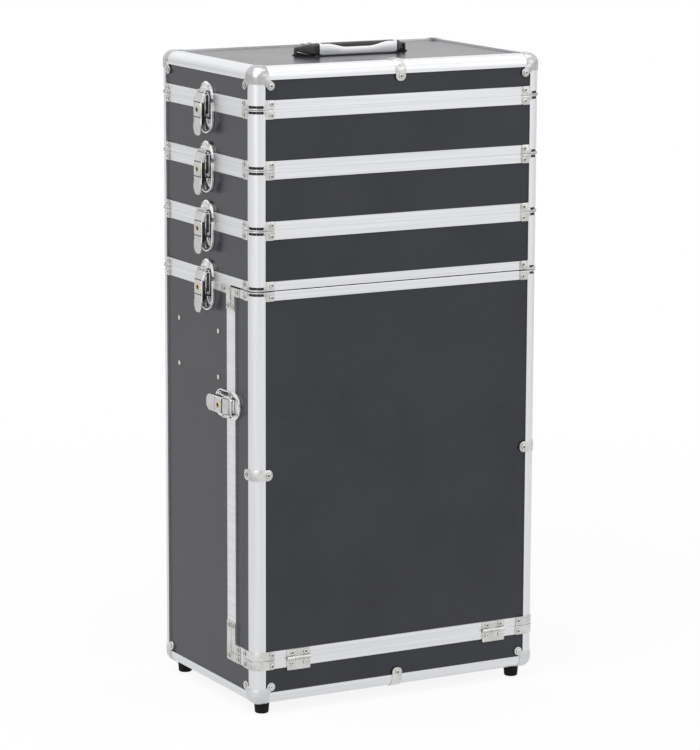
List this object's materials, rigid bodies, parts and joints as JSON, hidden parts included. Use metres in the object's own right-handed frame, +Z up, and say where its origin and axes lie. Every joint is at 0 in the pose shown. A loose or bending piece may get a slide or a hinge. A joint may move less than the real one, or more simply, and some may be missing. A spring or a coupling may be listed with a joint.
{
  "type": "makeup_train_case",
  "caption": "Tall makeup train case: a front-door cabinet on rubber feet with stacked lift-off trays and a handled lid, in black laminate and aluminium.",
  "frame": {"origin": "On the floor under the middle of the case, at the bottom centre of its box.", "axes": "+X runs along the door face to the right as seen from the front, +Y runs from the door to the back, +Z is up."},
  "size_m": [0.3944, 0.2405, 0.75],
  "materials": {
    "laminate": "Charcoal laminate with a fine embossed grain over thin board.",
    "aluminium_profile": "Satin anodised aluminium profile.",
    "nickel_plate": "Nickel-plated pressed steel with dome rivets.",
    "bright_cap": "Bright plated ball corner.",
    "cap_metal": "Satin plated corner cap.",
    "latch_chrome": "Bright chrome plate with a brass lock cylinder.",
    "foot_rubber": "Black moulded rubber.",
    "drawer_plastic": "Dark grey moulded plastic tray.",
    "handle_silver": "Silver finish on the grip's cover.",
    "handle_black": "Black moulded plastic."
  },
  "bodies": {
    "cabinet": {"cabinet_side_panels": "laminate", "cabinet_back_panel": "laminate", "cabinet_floor_panel": "laminate", "cabinet_front_strip": "laminate", "cabinet_posts": "aluminium_profile", "cabinet_bottom_edges": "aluminium_profile", "cabinet_rims": "aluminium_profile", "cabinet_fittings": "nickel_plate", "bottom_corner_caps": "cap_metal", "rubber_feet": "foot_rubber", "drawer_runners": "nickel_plate", "hinge_lower_leaves": "nickel_plate"},
    "door": {"door_front_panel": "laminate", "door_side_panels": "laminate", "door_posts": "aluminium_profile", "door_rims": "aluminium_profile", "door_fittings": "nickel_plate", "hinge_upper_leaves": "nickel_plate"},
    "upper_drawer": {"upper_drawer": "drawer_plastic"},
    "lower_drawer": {"lower_drawer": "drawer_plastic"},
    "tray_3": {"tray_3_walls": "laminate", "tray_3_floor": "laminate", "tray_3_frame": "aluminium_profile", "tray_3_fittings": "nickel_plate"},
    "tray_2": {"tray_2_walls": "laminate", "tray_2_floor": "laminate", "tray_2_frame": "aluminium_profile", "tray_2_fittings": "nickel_plate"},
    "tray_1": {"tray_1_walls": "laminate", "tray_1_floor": "laminate", "tray_1_frame": "aluminium_profile", "tray_1_fittings": "nickel_plate"},
    "lid": {"lid_top_panel": "laminate", "lid_walls": "laminate", "lid_frame": "aluminium_profile", "lid_fittings": "nickel_plate", "top_corner_caps": "bright_cap", "handle_mounts": "handle_black"},
    "handle": {"handle_core": "handle_black", "handle_cover": "handle_silver"},
    "left_lever_1": {"left_lever_1": "latch_chrome"},
    "left_claw_1": {"left_claw_1": "latch_chrome"},
    "left_lever_2": {"left_lever_2": "latch_chrome"},
    "left_claw_2": {"left_claw_2": "latch_chrome"},
    "left_lever_3": {"left_lever_3": "latch_chrome"},
    "left_claw_3": {"left_claw_3": "latch_chrome"},
    "left_lever_4": {"left_lever_4": "latch_chrome"},
    "left_claw_4": {"left_claw_4": "latch_chrome"},
    "left_door_lever": {"left_door_lever": "latch_chrome"},
    "left_door_claw": {"left_door_claw": "latch_chrome"},
    "right_lever_1": {"right_lever_1": "latch_chrome"},
    "right_claw_1": {"right_claw_1": "latch_chrome"},
    "right_lever_2": {"right_lever_2": "latch_chrome"},
    "right_claw_2": {"right_claw_2": "latch_chrome"},
    "right_lever_3": {"right_lever_3": "latch_chrome"},
    "right_claw_3": {"right_claw_3": "latch_chrome"},
    "right_lever_4": {"right_lever_4": "latch_chrome"},
    "right_claw_4": {"right_claw_4": "latch_chrome"},
    "right_door_lever": {"right_door_lever": "latch_chrome"},
    "right_door_claw": {"right_door_claw": "latch_chrome"}
  },
  "joints": [
    {"name": "tray_3_lift", "type": "slide", "parent": "cabinet", "child": "tray_3", "axis": [0, 0, 1], "range_m": [0, 0.06]},
    {"name": "tray_2_lift", "type": "slide", "parent": "tray_3", "child": "tray_2", "axis": [0, 0, 1], "range_m": [0, 0.06]},
    {"name": "tray_1_lift", "type": "slide", "parent": "tray_2", "child": "tray_1", "axis": [0, 0, 1], "range_m": [0, 0.06]},
    {"name": "lid_lift", "type": "slide", "parent": "tray_1", "child": "lid", "axis": [0, 0, 1], "range_m": [0, 0.06]},
    {"name": "door_hinge", "type": "hinge", "parent": "cabinet", "child": "door", "pos_m": [0, -0.1187, 0.0649], "axis": [1, 0, 0], "range_deg": [0, 98]},
    {"name": "upper_drawer_slide", "type": "slide", "parent": "cabinet", "child": "upper_drawer", "axis": [0, -1, 0], "range_m": [0, 0.15]},
    {"name": "lower_drawer_slide", "type": "slide", "parent": "cabinet", "child": "lower_drawer", "axis": [0, -1, 0], "range_m": [0, 0.15]},
    {"name": "handle_fold", "type": "hinge", "parent": "lid", "child": "handle", "pos_m": [0, 0, 0.7428], "axis": [-1, 0, 0], "range_deg": [0, 180]},
    {"name": "left_lever_1_turn", "type": "hinge", "parent": "tray_1", "child": "left_lever_1", "pos_m": [-0.191, -0.002, 0.6873], "axis": [0, 1, 0], "range_deg": [0, 100]},
    {"name": "left_claw_1_turn", "type": "hinge", "parent": "left_lever_1", "child": "left_claw_1", "pos_m": [-0.19, -0.002, 0.6751], "axis": [0, 1, 0], "range_deg": [-110, 0]},
    {"name": "left_lever_2_turn", "type": "hinge", "parent": "tray_2", "child": "left_lever_2", "pos_m": [-0.191, -0.002, 0.6201], "axis": [0, 1, 0], "range_deg": [0, 100]},
    {"name": "left_claw_2_turn", "type": "hinge", "parent": "left_lever_2", "child": "left_claw_2", "pos_m": [-0.19, -0.002, 0.6079], "axis": [0, 1, 0], "range_deg": [-110, 0]},
    {"name": "left_lever_3_turn", "type": "hinge", "parent": "tray_3", "child": "left_lever_3", "pos_m": [-0.191, -0.002, 0.5529], "axis": [0, 1, 0], "range_deg": [0, 100]},
    {"name": "left_claw_3_turn", "type": "hinge", "parent": "left_lever_3", "child": "left_claw_3", "pos_m": [-0.19, -0.002, 0.5407], "axis": [0, 1, 0], "range_deg": [-110, 0]},
    {"name": "left_lever_4_turn", "type": "hinge", "parent": "cabinet", "child": "left_lever_4", "pos_m": [-0.191, -0.002, 0.4857], "axis": [0, 1, 0], "range_deg": [0, 100]},
    {"name": "left_claw_4_turn", "type": "hinge", "parent": "left_lever_4", "child": "left_claw_4", "pos_m": [-0.19, -0.002, 0.4735], "axis": [0, 1, 0], "range_deg": [-110, 0]},
    {"name": "left_door_lever_turn", "type": "hinge", "parent": "cabinet", "child": "left_door_lever", "pos_m": [-0.191, -0.0582, 0.3515], "axis": [0, 0, 1], "range_deg": [0, 100]},
    {"name": "left_door_claw_turn", "type": "hinge", "parent": "left_door_lever", "child": "left_door_claw", "pos_m": [-0.19, -0.046, 0.3515], "axis": [0, 0, 1], "range_deg": [-110, 0]},
    {"name": "right_lever_1_turn", "type": "hinge", "parent": "tray_1", "child": "right_lever_1", "pos_m": [0.191, -0.002, 0.6873], "axis": [0, -1, 0], "range_deg": [0, 100]},
    {"name": "right_claw_1_turn", "type": "hinge", "parent": "right_lever_1", "child": "right_claw_1", "pos_m": [0.19, -0.002, 0.6751], "axis": [0, -1, 0], "range_deg": [-110, 0]},
    {"name": "right_lever_2_turn", "type": "hinge", "parent": "tray_2", "child": "right_lever_2", "pos_m": [0.191, -0.002, 0.6201], "axis": [0, -1, 0], "range_deg": [0, 100]},
    {"name": "right_claw_2_turn", "type": "hinge", "parent": "right_lever_2", "child": "right_claw_2", "pos_m": [0.19, -0.002, 0.6079], "axis": [0, -1, 0], "range_deg": [-110, 0]},
    {"name": "right_lever_3_turn", "type": "hinge", "parent": "tray_3", "child": "right_lever_3", "pos_m": [0.191, -0.002, 0.5529], "axis": [0, -1, 0], "range_deg": [0, 100]},
    {"name": "right_claw_3_turn", "type": "hinge", "parent": "right_lever_3", "child": "right_claw_3", "pos_m": [0.19, -0.002, 0.5407], "axis": [0, -1, 0], "range_deg": [-110, 0]},
    {"name": "right_lever_4_turn", "type": "hinge", "parent": "cabinet", "child": "right_lever_4", "pos_m": [0.191, -0.002, 0.4857], "axis": [0, -1, 0], "range_deg": [0, 100]},
    {"name": "right_claw_4_turn", "type": "hinge", "parent": "right_lever_4", "child": "right_claw_4", "pos_m": [0.19, -0.002, 0.4735], "axis": [0, -1, 0], "range_deg": [-110, 0]},
    {"name": "right_door_lever_turn", "type": "hinge", "parent": "cabinet", "child": "right_door_lever", "pos_m": [0.191, -0.0582, 0.3515], "axis": [0, 0, -1], "range_deg": [0, 100]},
    {"name": "right_door_claw_turn", "type": "hinge", "parent": "right_door_lever", "child": "right_door_claw", "pos_m": [0.19, -0.046, 0.3515], "axis": [0, 0, -1], "range_deg": [-110, 0]}
  ],
  "couplings": [
    {"joint": "upper_drawer_slide", "follows": "door_hinge", "m_per_rad": 0.08769},
    {"joint": "lower_drawer_slide", "follows": "door_hinge", "m_per_rad": 0.08769},
    {"joint": "left_lever_1_turn", "follows": "lid_lift", "rad_per_m": 29.089},
    {"joint": "left_claw_1_turn", "follows": "lid_lift", "rad_per_m": -31.998},
    {"joint": "left_lever_2_turn", "follows": "tray_1_lift", "rad_per_m": 29.089},
    {"joint": "left_claw_2_turn", "follows": "tray_1_lift", "rad_per_m": -31.998},
    {"joint": "left_lever_3_turn", "follows": "tray_2_lift", "rad_per_m": 29.089},
    {"joint": "left_claw_3_turn", "follows": "tray_2_lift", "rad_per_m": -31.998},
    {"joint": "left_lever_4_turn", "follows": "tray_3_lift", "rad_per_m": 29.089},
    {"joint": "left_claw_4_turn", "follows": "tray_3_lift", "rad_per_m": -31.998},
    {"joint": "left_door_lever_turn", "follows": "door_hinge", "ratio": 1.0204},
    {"joint": "left_door_claw_turn", "follows": "door_hinge", "ratio": -1.1224},
    {"joint": "right_lever_1_turn", "follows": "lid_lift", "rad_per_m": 29.089},
    {"joint": "right_claw_1_turn", "follows": "lid_lift", "rad_per_m": -31.998},
    {"joint": "right_lever_2_turn", "follows": "tray_1_lift", "rad_per_m": 29.089},
    {"joint": "right_claw_2_turn", "follows": "tray_1_lift", "rad_per_m": -31.998},
    {"joint": "right_lever_3_turn", "follows": "tray_2_lift", "rad_per_m": 29.089},
    {"joint": "right_claw_3_turn", "follows": "tray_2_lift", "rad_per_m": -31.998},
    {"joint": "right_lever_4_turn", "follows": "tray_3_lift", "rad_per_m": 29.089},
    {"joint": "right_claw_4_turn", "follows": "tray_3_lift", "rad_per_m": -31.998},
    {"joint": "right_door_lever_turn", "follows": "door_hinge", "ratio": 1.0204},
    {"joint": "right_door_claw_turn", "follows": "door_hinge", "ratio": -1.1224}
  ]
}
